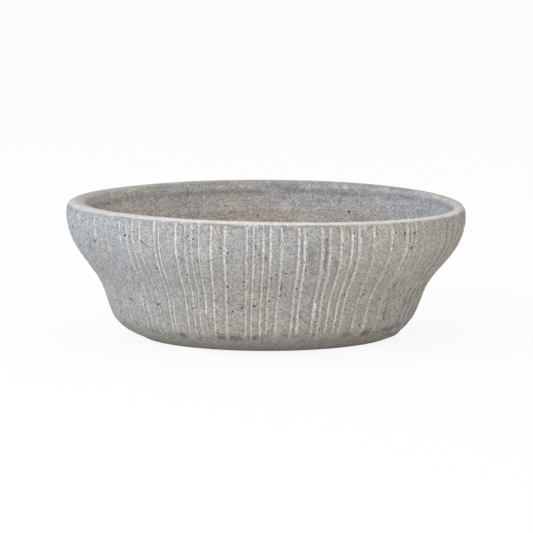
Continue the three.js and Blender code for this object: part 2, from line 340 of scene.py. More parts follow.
class Casting:
    """Vertices as angle, length along the outline and sink, with the faces that join them."""

    def __init__(self):
        self.angle = []
        self.along = []
        self.sink = []
        self.faces = []

    def add(self, angle, along, sink=0.0):
        """New vertices, and their numbers."""
        first = len(self.angle)
        angle = np.atleast_1d(angle)
        for values, added in ((self.angle, angle), (self.along, along), (self.sink, sink)):
            values += list(np.broadcast_to(added, angle.shape))
        return list(range(first, first + len(angle)))

    def stitch(self, lower, lower_turns, upper, upper_turns):
        """Triangles between two closed rings given by their vertices and rising angles."""

        def turns_of(turns, i):
            return turns[i % len(turns)] + TURN * (i // len(turns))

        start = 0
        while turns_of(upper_turns, start + 1) <= lower_turns[0]:
            start += 1
        i, j = 0, start
        while i < len(lower) or j < start + len(upper):
            upper_done = j >= start + len(upper)
            lower_next = turns_of(lower_turns, i) + turns_of(lower_turns, i + 1)
            upper_next = turns_of(upper_turns, j) + turns_of(upper_turns, j + 1)
            low, high = lower[i % len(lower)], upper[j % len(upper)]
            if upper_done or (i < len(lower) and lower_next <= upper_next):
                self.faces.append((low, lower[(i + 1) % len(lower)], high))
                i += 1
            else:
                self.faces.append((low, upper[(j + 1) % len(upper)], high))
                j += 1


class Band:
    """A run of rings with the same number of points, some of whose cells a pit may take."""

    def __init__(self, casting, rows):
        self.casting = casting
        self.along = np.array([along for along, _ in rows])
        self.angles = np.array([angles for _, angles in rows])
        self.index = np.array([casting.add(angles, along) for along, angles in rows])
        self.whole = np.ones((len(rows) - 1, self.angles.shape[1]), bool)

    def cut_pit(self, angle, along, radius, depth, dice):
        """Opens a ragged round hole in the surface, where there is room for it."""
        outline_radius = BOWL_OUTLINE.point(along)[0]
        reach = 1.12 * radius
        row = int(np.searchsorted(self.along, along - reach)) - 1
        row_end = int(np.searchsorted(self.along, along + reach))
        middle = self.angles[(row + row_end) // 2]
        angle = (angle - middle[0]) % TURN + middle[0]
        side = (reach + 0.25) / outline_radius
        column = int(np.searchsorted(middle, angle - side)) - 1
        column_end = int(np.searchsorted(middle, angle + side))
        inside_band = row >= 0 and row_end < len(self.along)
        if not inside_band or column < 0 or column_end >= len(middle):
            return
        cells = self.whole[row:row_end, column:column_end]
        if not cells.all():
            return
        cells[:] = False
        edge = [(row, j) for j in range(column, column_end)]
        edge += [(i, column_end) for i in range(row, row_end)]
        edge += [(row_end, j) for j in range(column_end, column, -1)]
        edge += [(i, column) for i in range(row_end, row, -1)]
        i, j = np.array(edge).T
        edge_turns = np.arctan2(self.along[i] - along, (self.angles[i, j] - angle) * outline_radius)
        self.fill_pit(self.index[i, j], edge_turns % TURN, angle, along, radius, depth, dice)

    def fill_pit(self, edge, edge_turns, angle, along, radius, depth, dice):
        """Rings from the open cells' edge to a ragged hole's lip, and on down to its bottom."""
        outline_radius = BOWL_OUTLINE.point(along)[0]
        shift = -int(edge_turns.argmin())
        lower, lower_turns = np.roll(edge, shift), np.roll(edge_turns, shift)
        points = 8 if radius < 0.8 else 11
        turns = (np.arange(points) + 0.1) * TURN / points
        ragged = 0.16 * dice.uniform(-1, 1, points)
        stretch = dice.uniform(0.82, 1.1)
        for share, sunk in ((1.0, 0.0), (0.86, 0.55), (0.45, 0.95)):
            away = radius * share * (1 + ragged * share)
            upper = self.casting.add(
                angle + away * np.cos(turns) / outline_radius,
                along + away * np.sin(turns) * stretch,
                sunk * depth,
            )
            self.casting.stitch(lower, lower_turns, upper, turns)
            lower, lower_turns = upper, turns
        bottom = self.casting.add(angle, along, depth)[0]
        for i, vertex in enumerate(lower):
            self.casting.faces.append((vertex, lower[(i + 1) % points], bottom))

    def close(self):
        """Adds the cells that no pit took."""
        rows, columns = np.nonzero(self.whole)
        right = (columns + 1) % self.angles.shape[1]
        quads = np.stack([
            self.index[rows, columns], self.index[rows, right],
            self.index[rows + 1, right], self.index[rows + 1, columns],
        ], axis=1)
        self.casting.faces += [tuple(quad) for quad in quads.tolist()]


def wall_angles(height, radius):
    """Angles of a ring's points: some across each groove, and even steps over the lands."""
    centres, half = groove_lines(np.array([height]), np.array([radius]))
    centres, half = centres[0], half[0]
    fine = np.array([-1.15, -0.85, -0.5, -0.15, 0.2, 0.55, 0.9, 1.2])
    coarse = np.array([-1.15, -0.65, -0.1, 0.4, 0.85, 1.2])
    top_gap = np.diff(np.append(TOPS, TOPS[0] + TURN)) * BOWL_RADIUS
    angles = []
    for i, centre in enumerate(centres):
        across, step = (fine, 1.5) if i < len(FRONT_GROOVES) else (coarse, 2.8)
        angles += list(centre + across * half[i])
        following = (i + 1) % len(centres)
        end = centres[following] + across[0] * half[following]
        end += TURN if following == 0 else 0
        start = centre + across[-1] * half[i]
        count = max(2, round((top_gap[i] - 4.6) / step))
        angles += list(start + (end - start) * np.arange(1, count) / count)
    return np.array(angles)


def even_rows(start, end, count, columns):
    """Rings of evenly spaced points at even lengths along the outline."""
    angles = TOPS[0] + np.arange(columns) * TURN / columns
    return [(along, angles) for along in np.linspace(start, end, count)]


def wall_rows(bowl):
    """Rings up the outside wall."""
    places = np.linspace(WALL_START, WALL_END, bowl.wall_rows)
    rings = zip(places, *BOWL_OUTLINE.point(places))
    return [(along, wall_angles(height, radius)) for along, radius, height in rings]


def inner_rows(bowl):
    """Rings down the inside, closer together near the rim, with more of their points at the back."""
    share = np.linspace(0, 1, bowl.inside_rows)
    start = WALL_END + 1.2
    places = start + (FLOOR_EDGE - start) * (share - 0.75 * share * (1 - share))
    turn = np.arange(bowl.inside_columns) * TURN / bowl.inside_columns
    angles = TOPS[0] + np.sort((turn + 0.5 * np.sin(turn) - TOPS[0]) % TURN)
    return [(along, angles) for along in places]


def cut_pits(bowl, wall, inside):
    """Cuts the air holes that were seen, and then random pinholes."""
    dice = np.random.default_rng(bowl.seed)

    def cut_at(band, degrees, height, radius, deep):
        angle = math.radians(degrees)
        along = wall_length(angle, height, inside_wall=band is inside)
        band.cut_pit(angle, along, radius, deep * radius, dice)

    for degrees, height, radius in LARGE_PITS:
        cut_at(wall, degrees, height, radius, 1.6)
    for degrees, height in SMALL_PITS:
        widening = 1 / math.sqrt(math.cos(math.radians(degrees)))
        cut_at(wall, degrees, height, dice.uniform(0.7, 0.95) * widening, 1.5)
    for degrees, height, radius in INNER_PITS:
        cut_at(inside, degrees, height, radius, 1.5)
    for band, count, low, high in (
        (wall, bowl.pinholes, WALL_START, WALL_END),
        (inside, bowl.pinholes // 3, INNER_LIP + 10, FLOOR_EDGE),
    ):
        for _ in range(count):
            angle = dice.uniform(-math.pi, math.pi)
            along = dice.uniform(low, high)
            radius = 0.38 + 0.75 * dice.random() ** 3
            band.cut_pit(angle, along, radius, 1.25 * radius, dice)


def build_casting(bowl):
    """The bowl's vertices and faces, with its pits cut."""
    casting = Casting()
    rows = (
        wall_rows(bowl),
        inner_rows(bowl),
        even_rows(FLOOR_EDGE + 12, HOLE_TOP, 7, 160),
        even_rows(HOLE_FOOT, HOLE_FOOT + DISH_RADIUS - DRAIN_RADIUS - 2, 4, 160),
        even_rows(RING_INNER, BOWL_OUTLINE.length, 4, 240),
        even_rows(0.6, WALL_START - 1.5, 8, 240),
    )
    bands = [Band(casting, run) for run in rows]
    cut_pits(bowl, *bands[:2])
    for band, following in zip(bands, bands[1:] + bands[:1]):
        band.close()
        casting.stitch(
            list(band.index[-1]), list(band.angles[-1]),
            list(following.index[0]), list(following.angles[0]),
        )
    return casting


# ---- the surface of the casting ----

def line_distance(x, y, ax, ay, bx, by):
    """Distance of points from a segment, all in millimetres on the unrolled wall."""
    dx, dy = bx - ax, by - ay
    share = np.clip(((x - ax) * dx + (y - ay) * dy) / (dx * dx + dy * dy), 0, 1)
    return np.hypot(x - ax - share * dx, y - ay - share * dy)


def back_smears():
    """Smears like the ones that were seen, for the side of the wall that wasn't."""
    dice = np.random.default_rng(71)
    marks = []
    for _ in range(22):
        turn = dice.uniform(75, 285)
        low = dice.uniform(18, 100)
        marks.append((turn, low, turn + dice.uniform(-0.6, 0.6), low + dice.uniform(6, 28),
                      dice.uniform(0.8, 1.5), dice.uniform(0.4, 0.9)))
    return marks


def stroke_marks(angle, height, radius, spots, marks):
    """The strength of a list of strokes at each point of the wall or the inside."""
    total = np.zeros(len(angle))
    for turn, low, turn_end, high, half, strength in marks:
        middle = math.radians((turn + turn_end) / 2)
        ax = (math.radians(turn) - middle) * radius
        bx = (math.radians(turn_end) - middle) * radius
        gap = line_distance(turn_from(middle, angle) * radius, height, ax, low, bx, high)
        total = np.maximum(total, strength * hump(gap, 0, half))
    return total * (0.75 + 0.35 * spots)


class Surface:
    """What the casting's surface is like at each vertex: its zones, grooves, relief and marks."""

    def __init__(self, casting, bowl):
        self.angle = np.array(casting.angle)
        self.along = np.array(casting.along)
        self.sink = np.array(casting.sink)
        self.radius, self.height = BOWL_OUTLINE.point(self.along)
        self.degrees = (np.degrees(self.angle) + 180) % 360 - 180
        self.round = np.stack([
            self.radius * np.sin(self.angle), -self.radius * np.cos(self.angle), self.height,
        ], axis=1)
        self.wall = (self.along > WALL_START * 0.5) & (self.along < RIM_CREST)
        self.find_zones()
        self.find_grooves(bowl)
        self.find_relief(bowl)

    def noise(self, cell, seed):
        return soft_noise(self.round, cell, seed)

    def find_zones(self):
        """How much of each point is rim, inside, foot and back."""
        wander = 1.1 * self.noise(9, 1) + 0.7 * self.noise(3, 2)
        edge = RIM_EDGE + 0.5 * wander
        outside = smooth(edge - 0.5, edge + 0.5, self.height) * (self.along <= RIM_CREST)
        self.back = smooth(0.42, 0.72, -np.cos(self.angle))
        past = self.along - INNER_LIP - 4 + 4.4 * self.back - 1.5 * self.noise(12, 3)
        over = (self.along > RIM_CREST) * (1 - smooth(-1.5, 1.5, past))
        self.rim = np.maximum(outside, over)
        self.inner = smooth(-2, 2, past) * (self.along < HOLE_FOOT)
        low = (1 - smooth(*FOOT_BAND, self.height + 1.2 * wander)) * (self.along < RIM_CREST)
        self.foot = np.maximum(low, self.along > HOLE_FOOT)

    def find_grooves(self, bowl):
        """Where each point lies across its nearest groove, and how much of it is cut away."""
        across, self.which = nearest_groove(self.angle, self.height, self.radius)
        ragged = 1 + bowl.raggedness * (0.7 * self.noise(3.4, 5) + 0.5 * self.noise(7, 6))
        self.across = across / ragged
        low_end = self.height - GROOVE_BOTTOM + 2.0 * np.sin(2.1 * self.which) - 1.2
        high_end = (GROOVE_TOP - self.height) * 3
        ends = np.minimum(low_end, high_end) / GROOVE_RUN_OUT
        self.reach = np.clip(ends, 0, 1) * self.wall * (1 - self.rim)
        self.cut = np.clip(1 - np.abs(self.across) ** 1.6, 0, 1) * self.reach

    def find_relief(self, bowl):
        """How far each point stands out from the outline, in millimetres."""
        lips = hump(self.across, 1.05, 0.24) + 0.5 * hump(self.across, -1.1, 0.24)
        burr = lips * self.reach * np.clip(0.3 + self.noise(2.4, 7), 0, 1.2)
        grain = 0.09 * self.noise(2.4, 8) + 0.08 * self.noise(6, 9) + 0.12 * self.noise(19, 10)
        lumps = 0.3 * self.noise(70, 11)
        depth = bowl.groove_depth / MM * (0.86 + 0.3 * self.noise(11, 12))
        rough = np.where(self.rim > 0.5, 0.3, 1.0)
        relief = lumps - 0.28 + rough * (grain - 0.1)
        relief = relief - 0.2 * self.wall * (1 - self.rim) * (1 - self.foot)
        relief = np.minimum(relief + bowl.burr / MM * burr, 0) - depth * self.cut
        flat = (self.along > FLOOR_EDGE + 1) | (self.height < 0.01)
        self.relief = np.where(flat, 0.0, relief)

    def positions(self):
        """The vertices' places, in metres."""
        out = self.relief - self.sink
        out_r, out_h = BOWL_OUTLINE.outward(self.along)
        core = np.clip((self.along - RIM_CREST) / (INNER_LIP - RIM_CREST), 0, 1)
        radius = self.radius + out * out_r + self.foot_bulge()
        height = np.maximum(self.height + out * out_h - self.rim_settling(), 0)
        return place(self.angle, radius, height, core)

    def rim_settling(self):
        """The rim is pressed a little flatter along the front, and dips at the right of it."""
        front = smooth(0, 0.6, np.cos(self.angle))
        flatter = 0.17 * np.clip(self.height - RIM_FLAT_FROM, 0, None) * front
        return flatter + 0.9 * hump(self.degrees, 68, 13) * smooth(105, 131, self.height)

    def foot_bulge(self):
        """The foot stands out a little at the right of the front, where the mould leaked."""
        low = smooth(0.5, 5, self.height) * (1 - smooth(9, 17, self.height))
        return 3.0 * hump(self.degrees, 66, 16) * low * (self.along < RIM_CREST)

    def marks(self):
        """The values that the concrete's material reads, by name."""
        spots = self.noise(5, 21)
        crumbs = self.noise(2.4, 7)
        level = self.height + lift_at(self.angle, self.height)
        within = self.along > RIM_CREST
        side = np.sin(self.angle)
        right = smooth(0.3, 0.8, side)
        far_right = smooth(0.8, 0.89, side)
        left_shoulder = smooth(0.88, 0.97, -side) * smooth(85, 110, level)

        def groove_side(centre, width):
            """1 at a place across the grooves, and less by its distance, down to 0."""
            return np.clip(1 - np.abs(self.across - centre) / width, 0, 1) * self.reach

        def strokes(marks):
            return stroke_marks(self.angle, level, self.radius, spots, marks)

        # Pale paste in the grooves with a painted highlight: moved onto each groove's right wall, which
        # faces the lamp at the left, stronger on the bowl's left and weaker on its right.
        bloom_and_highlight_width = 1.25 + 0.9 * right + 0.7 * left_shoulder
        fade = 0.85 + 0.35 * self.noise(24, 22) + 0.16 * np.sin(4.7 * self.which)
        fade += 0.2 * smooth(0.3, 0.7, -side) - 0.4 * right - 0.5 * far_right
        front = smooth(-0.25, 0.55, np.cos(self.angle)) * (1 - 0.5 * smooth(0.3, 0.95, -side))

        low_dirt = hump(level, 15.5, 3.6) * np.clip(0.4 + 1.5 * self.noise(10, 23), 0, 1)
        # A patchy darker line just under the rim.
        under_rim_dark = hump(self.height, 129.2, 1.2) * np.clip(2.4 * self.noise(4.2, 24) + 0.1, 0, 1)
        # Smears, one of them a painted shadow under the rim, and darker places low down and under the
        # rim.
        wall_dirt_and_shade = np.maximum(strokes(SMEARS_AND_SHADOW + back_smears()), 0.85 * low_dirt + 0.8 * under_rim_dark)
        land = np.clip(2.5 * np.abs(self.across) - 2, 0.35, 1) * self.wall * (1 - self.rim)
        # On the lands, and also painted shade in the grooves at the far right, which turn away from the
        # lamp.
        wall_stain_and_shade = np.maximum(wall_dirt_and_shade * land, 0.5 * far_right * groove_side(0.2, 1.1))
        # Painted shade inside: darker low on the right and in a band just under the lip.
        painted_inner_shade = 0.25 * smooth(0.1, 0.6, side) * (1 - smooth(100, 112, level))
        painted_inner_shade += 0.25 * smooth(126, 130, level)
        inner_stain_and_shade = np.maximum(strokes(INNER_SMEARS_AND_SHADE), painted_inner_shade)

        # Painted light inside: cooler on the right, which faces the cool lamp at the left, and near the
        # rim, with a random part.
        inner_cool = 0.28 + 0.3 * side + smooth(100, 120, level) * (0.38 + 0.3 * side)
        inner_cool += 0.3 * self.noise(38, 26)
        # Brown low at the back inside, more on the left, away from the lamp: partly a stain and partly
        # painted shade.
        inner_tan = (1 - smooth(97, 107, level)) * self.back * np.clip(1 - 0.6 * side, 0, 1)
        # Painted light: a lighter band inside around 119 mm, evening out the shade where the inner wall
        # stands upright, added to the pale chips.
        painted_light_band = 0.1 + 0.1 * smooth(0.25, 0.7, np.abs(side)) + 0.08 * right
        pale = strokes(CHIPS) * (0.8 + 0.6 * crumbs) + hump(level, 119, 6) * painted_light_band
        marks = {
            # Pale paste and a painted highlight on each groove's lit right wall.
            "bright": groove_side(0.42 - 0.3 * right, bloom_and_highlight_width),
            # Outside, painted shade on each groove's left wall, which faces away from the lamp at the
            # left; inside, the brown low at the back, partly a stain and partly painted shade.
            "tan": np.where(within, inner_tan, groove_side(-1.0, 1.1)),
            # Painted shadow beyond each groove's right lip, where its raised burr would cast it.
            "edge": groove_side(1.25, 0.8),
            "fade": fade,
            # Real smears and dirt, and painted shade and shadow, in one dark colour.
            "stain_and_shade": np.where(within, inner_stain_and_shade, wall_stain_and_shade),
            # Pale chips along the lip, and the painted light band inside.
            "pale": pale * within,
            # Outside, cooler on the bowl's left, as painted light from the cool lamp there.
            "cool": np.where(within, inner_cool, 0.5 - 0.55 * side),
            "lime": 0.2 + 0.75 * front + 0.3 * spots,
            "rim": self.rim,
            "inner": self.inner,
            "foot": self.foot,
            # How far a point is sunk into an air hole; the material turns it into painted shade.
            "pit": self.sink,
            "height": self.height / BOWL_HEIGHT,
        }
        return {name: np.clip(values, 0, 1) for name, values in marks.items()}


# ---- mesh helpers ----

def new_object(name, points, faces, material, sharp_degrees=40):
    """A smooth-shaded object from points in metres, without any vertex that no face uses."""
    used = np.zeros(len(points), bool)
    for face in faces:
        used[list(face)] = True
    renumber = np.cumsum(used) - 1
    mesh = bpy.data.meshes.new(name)
    mesh.from_pydata(
        points[used].tolist(), [], [tuple(int(renumber[v]) for v in face) for face in faces]
    )
    mesh.validate()
    mesh.shade_smooth()
    mesh.set_sharp_from_angle(angle=math.radians(sharp_degrees))
    obj = bpy.data.objects.new(name, mesh)
    bpy.context.scene.collection.objects.link(obj)
    mesh.materials.append(material)
    return obj, used


def add_values(mesh, name, values):
    """Keeps one number for each vertex under a name that a material can read."""
    attribute = mesh.attributes.new(name, "FLOAT", "POINT")
    attribute.data.foreach_set("value", values.astype(np.float32))


def lay_out_map(mesh, angle, along):
    """The casting's flat map: both walls in strips of half a turn, the floor and underside as discs."""
    corner = np.empty(len(mesh.loops), np.int32)
    mesh.loops.foreach_get("vertex_index", corner)
    start = np.empty(len(mesh.polygons), np.int32)
    mesh.polygons.foreach_get("loop_start", start)
    face = np.repeat(np.arange(len(start)), np.diff(np.append(start, len(corner))))

    def face_mean(values):
        return (np.add.reduceat(values, start) / np.bincount(face))[face]

    along = along[corner]
    closes = (along < WALL_START) & (np.maximum.reduceat(along, start)[face] > RING_INNER)
    along = along + BOWL_OUTLINE.length * closes
    turn = angle[corner] - MAP_SEAM
    first = turn[start][face]
    turn = first + turn_from(first, turn)
    half = np.floor(face_mean(turn) / math.pi)
    across = 0.01 + 0.98 * (turn / math.pi - half)
    disc_radius, disc_row = 0.095, 0.9

    def strip(low, tall, bottom, top):
        """The front half's strip, with the back half's above it, each with a margin round it."""
        up = low + tall * (half % 2 + 0.03 + 0.94 * (along - bottom) / (top - bottom))
        return np.stack([across, up], axis=1)

    def disc(middle, reach, hand):
        """A disc turned so that no face is mirrored."""
        away = disc_radius * reach
        return np.stack([middle + hand * away * np.sin(turn), disc_row + away * np.cos(turn)], axis=1)

    zone = np.searchsorted([RIM_CREST, FLOOR_EDGE, HOLE_FOOT], face_mean(along))[:, None]
    to_hole, from_hole = HOLE_FOOT + 8, HOLE_FOOT - 12  # the hole's edge keeps some width on both
    spots = np.select([zone == 0, zone == 1, zone == 2, zone == 3], [
        strip(0.0, 0.25, 0, RIM_CREST),
        strip(0.5, 0.15, RIM_CREST, FLOOR_EDGE),
        disc(0.1, (to_hole - along) / (to_hole - FLOOR_EDGE), -1),
        disc(0.3, (along - from_hole) / (BOWL_OUTLINE.length - from_hole), 1),
    ])
    mesh.uv_layers.new(name="OFBake").data.foreach_set("uv", spots.astype(np.float32).ravel())


# ---- materials ----

def srgb(red, green, blue):
    """A screen colour, 0 to 255, as the linear colour that Blender keeps."""
    shares = np.array([red, green, blue]) / 255
    return tuple(np.where(shares < 0.04045, shares / 12.92, ((shares + 0.055) / 1.055) ** 2.4))


def new_material(name):
    """A new node material with only its output and shader."""
    material = bpy.data.materials.new(name)
    material.use_nodes = True
    return material, material.node_tree


def is_output(value):
    return isinstance(value, bpy.types.NodeSocket)


def feed(node, inputs):
    """Sets a node's inputs to values, or links them to other nodes' outputs."""
    for key, value in inputs.items():
        if is_output(value):
            node.id_data.links.new(value, node.inputs[key])
        else:
            node.inputs[key].default_value = value


def add_node(tree, kind, inputs=None, **settings):
    """A shader node of a kind, with its settings and inputs."""
    made = tree.nodes.new("ShaderNode" + kind)
    for key, value in settings.items():
        setattr(made, key, value)
    feed(made, inputs or {})
    return made


def noise(tree, where, scale, detail=2.0, rough=0.5):
    inputs = {"Vector": where, "Scale": scale, "Detail": detail, "Roughness": rough}
    return add_node(tree, "TexNoise", inputs).outputs["Fac"]


def remap(tree, value, low, high, to_low=0.0, to_high=1.0):
    inputs = {"Value": value, "From Min": low, "From Max": high, "To Min": to_low, "To Max": to_high}
    return add_node(tree, "MapRange", inputs).outputs["Result"]


def combine(tree, operation, a, b):
    return add_node(tree, "Math", {0: a, 1: b}, operation=operation).outputs[0]


def read_mark(tree, name, most=1):
    """A mark of the surface, from 0 to the most given."""
    mark = add_node(tree, "Attribute", attribute_name=name).outputs["Fac"]
    return mark if most == 1 else combine(tree, "MULTIPLY", mark, most)


def mix(tree, share, a, b, blend="MIX"):
    """Colour a turned into colour b by a share."""
    a, b = (colour if is_output(colour) else (*colour, 1.0) for colour in (a, b))
    made = add_node(tree, "Mix", {0: share, 6: a, 7: b}, data_type="RGBA", blend_type=blend)
    return made.outputs[2]


def shade_by(tree, colour, value, low, high):
    """Darkens or lightens a colour by a noise value, from low times at 0.3 to high times at 0.7."""
    factor = remap(tree, value, 0.3, 0.7, low, high)
    grey = add_node(tree, "CombineColor", {0: factor, 1: factor, 2: factor}).outputs[0]
    return mix(tree, 1.0, colour, grey, "MULTIPLY")


def frayed(tree, name, value, low, high, most=1.0, wildness=0.6):
    """A mark whose edge, between low and high, is broken up by a noise value."""
    lift = remap(tree, value, 0, 1, -0.5 * wildness, 0.5 * wildness)
    return remap(tree, combine(tree, "ADD", read_mark(tree, name), lift), low, high, 0, most)


def grain_cells(tree, where, scale):
    """Cells like grains of sand: the distance from their middles and a random value for each."""
    cells = add_node(tree, "TexVoronoi", {"Vector": where, "Scale": scale}).outputs
    return cells["Distance"], add_node(tree, "SeparateColor", {0: cells["Color"]}).outputs[0]


def specks(tree, where, scale, size, rarity):
    """Small round spots in some of the cells of a random pattern."""
    distance, chance = grain_cells(tree, where, scale)
    spot = remap(tree, distance, size * 1.5, size * 0.6)
    keep = remap(tree, chance, rarity, rarity + 0.05)
    return combine(tree, "MULTIPLY", combine(tree, "MULTIPLY", spot, keep), 0.75)


def finish_shader(tree, colour, rough, shine, grain, strength, deep):
    """Gives a material's shader its colour, roughness, gloss and fine relief."""
    bump = add_node(tree, "Bump", {"Strength": strength, "Distance": deep, "Height": grain})
    feed(tree.nodes["Principled BSDF"], {
        "Base Color": colour,
        "Roughness": rough,
        "Specular IOR Level": shine,
        "Normal": bump.outputs[0],
    })


def wall_colour(tree, paint, where, blotch, cool):
    """The outside wall: mottled and cooler on its left as painted light, tan on one side of each groove
    as painted shade, and limed on the other with a painted highlight, with a painted shadow beyond that
    lip.
    """
    tall = add_node(tree, "Mapping", {"Vector": where, "Scale": (1, 1, 0.14)}).outputs[0]
    streak = noise(tree, tall, 190, 3, 0.6)
    fray = noise(tree, where, 620, 2, 0.7)
    crumbs = noise(tree, where, 240, 2, 0.6)
    height = read_mark(tree, "height")

    # The mottling, whose cool share also follows the side as painted light.
    tint = combine(tree, "ADD", cool, remap(tree, noise(tree, where, 16, 3), 0.35, 0.65, -0.3, 0.3))
    low_wall = remap(tree, height, 0.85, 0.15)
    low_share = combine(tree, "MULTIPLY", low_wall, remap(tree, cool, 0, 0.5, 0.2, 0.8))
    wall = mix(tree, tint, paint.wall_warm, paint.wall_cool)
    wall = mix(tree, low_share, wall, paint.wall_low)
    wall = shade_by(tree, wall, blotch, 0.90, 1.08)
    wall = shade_by(tree, wall, streak, 0.93, 1.06)

    # Painted shade on each groove's left side: tan, turning grey on the bowl's left.
    groove = mix(tree, remap(tree, cool, 0.6, 0.95), paint.groove_shade_tan, paint.groove_shade_grey)
    wall = mix(tree, frayed(tree, "tan", fray, 0.3, 0.8, 0.6), wall, groove)
    # Pale paste in the grooves and a painted highlight on their lit right walls, bluish near the rim
    # like the cool lamp's light.
    bloom_and_highlight = mix(tree, remap(tree, height, 0.45, 0.95), paint.bloom_and_highlight_low, paint.bloom_and_highlight_high)
    fade = combine(tree, "MULTIPLY", read_mark(tree, "fade"), remap(tree, streak, 0.3, 0.6, 0.65, 1.0))
    bloom_and_highlight_share = combine(tree, "MULTIPLY", frayed(tree, "bright", fray, 0.38, 0.68), fade)
    wall = mix(tree, bloom_and_highlight_share, wall, bloom_and_highlight)
    # Painted shadow: dark spots beyond each groove's right lip, where the raised burr would cast it.
    wall = mix(tree, frayed(tree, "edge", crumbs, 0.88, 1.05, 0.8, 2.6), wall, paint.dirt_and_shade)
    return mix(tree, read_mark(tree, "foot", 0.8), wall, paint.foot)


def inside_colour(tree, paint, where, blotch, cool):
    """The inside: trowelled, bluish near the rim and on its right as painted light, and brown low down
    at the back, partly a stain and partly painted shade.
    """
    flat = add_node(tree, "Mapping", {"Vector": where, "Scale": (1, 1, 7)}).outputs[0]
    hollow = mix(tree, cool, paint.inner_warm, paint.inner_cool)
    hollow = mix(tree, read_mark(tree, "tan", 0.75), hollow, paint.inner_tan)
    hollow = shade_by(tree, hollow, blotch, 0.86, 1.12)
    return shade_by(tree, hollow, noise(tree, flat, 38, 5, 0.7), 0.80, 1.18)


def concrete_material(paint):
    """Hand-cast concrete: mottled and sandy, pale in its grooves and on its rim, dirty low down, with
    painted light and shade on its sides, in its grooves and pits and under its lip.
    """
    material, tree = new_material("hand_cast_concrete")
    where = add_node(tree, "TexCoord").outputs["Object"]
    blotch = noise(tree, where, 60, 4, 0.6)
    sand = noise(tree, where, 520, 2, 0.8)
    grit = noise(tree, where, 1100, 1)
    _, grains = grain_cells(tree, where, 780)
    cool = read_mark(tree, "cool")
    rim_share = read_mark(tree, "rim")

    wall = wall_colour(tree, paint, where, blotch, cool)
    hollow = inside_colour(tree, paint, where, blotch, cool)
    rim = mix(tree, read_mark(tree, "lime"), paint.rim_bare, paint.rim_lime)
    rim = shade_by(tree, rim, blotch, 0.92, 1.06)
    skin = mix(tree, read_mark(tree, "inner"), wall, hollow)
    skin = mix(tree, rim_share, skin, rim)
    # Smears and dirt, and painted shade and shadow, in one dark colour.
    skin = mix(tree, read_mark(tree, "stain_and_shade", 0.85), skin, paint.dirt_and_shade)
    # Pale chips, and the painted light band inside.
    skin = mix(tree, read_mark(tree, "pale"), skin, paint.rim_lime)

    roughened = shade_by(tree, shade_by(tree, skin, sand, 0.78, 1.2), grit, 0.72, 1.24)
    roughened = shade_by(tree, roughened, grains, 0.83, 1.17)
    skin = mix(tree, remap(tree, rim_share, 0, 1, 1.0, 0.45), skin, roughened)
    # Painted shade: dark specks for pinholes too small to cut.
    skin = mix(tree, specks(tree, where, 330, 0.11, 0.72), skin, paint.pit)
    # Painted shade deeper down in each cut air hole.
    skin = mix(tree, read_mark(tree, "pit", 0.9), skin, paint.pit)

    rough = remap(tree, sand, 0.3, 0.7, 0.82, 0.97)
    grain = combine(tree, "ADD", sand, combine(tree, "MULTIPLY", blotch, 1.5))
    strength = remap(tree, rim_share, 0, 1, 0.55, 0.12)
    finish_shader(tree, skin, rough, 0.25, grain, strength, 0.6 * MM)
    return material


def rubber_material(name, colour, dust_colour, roughness):
    """Moulded rubber with a fine matt grain and a little cement dust."""
    material, tree = new_material(name)
    where = add_node(tree, "TexCoord").outputs["Object"]
    grain = noise(tree, where, 1500, 2)
    cloud = noise(tree, where, 140, 4, 0.6)
    dusty = mix(tree, remap(tree, cloud, 0.5, 0.75, 0.0, 0.45), colour, dust_colour)
    rough = remap(tree, cloud, 0.3, 0.7, roughness - 0.1, roughness + 0.12)
    finish_shader(tree, shade_by(tree, dusty, grain, 0.9, 1.1), rough, 0.4, grain, 0.3, 0.1 * MM)
    return material


# ---- settings ----

def colour_setting(name, description, red, green, blue):
    return FloatVectorProperty(
        name=name, description=description, default=srgb(red, green, blue),
        subtype="COLOR", size=3, min=0, max=1,
    )


def number_setting(name, description, default, **limits):
    return FloatProperty(name=name, description=description, default=default, **limits)


def length_setting(name, description, default):
    return number_setting(name, description, default, min=0, unit="LENGTH")


def count_setting(name, description, default, least=0):
    return IntProperty(name=name, description=description, default=default, min=least)


class PlanterBowlSettings(bpy.types.PropertyGroup):
    """How the bowl is cast and cut."""

    groove_depth: length_setting("Groove depth", "Depth of the hand-cut grooves", 0.9 * MM)
    raggedness: number_setting("Raggedness", "How unevenly the groove edges run", 0.34, min=0, max=1)
    burr: length_setting("Burr", "Height of the crumbs raised beside a groove", 0.4 * MM)
    pinholes: count_setting("Pinholes", "Small air holes tried round the wall", 260)
    wall_rows: count_setting("Wall rows", "Rings of points up the outside wall", 56, 8)
    inside_rows: count_setting("Inside rows", "Rings of points from the rim to the floor", 61, 8)
    inside_columns: count_setting("Inside columns", "Points round the inside", 460, 32)
    seed: count_setting("Seed", "Start of the random pinholes", 4)


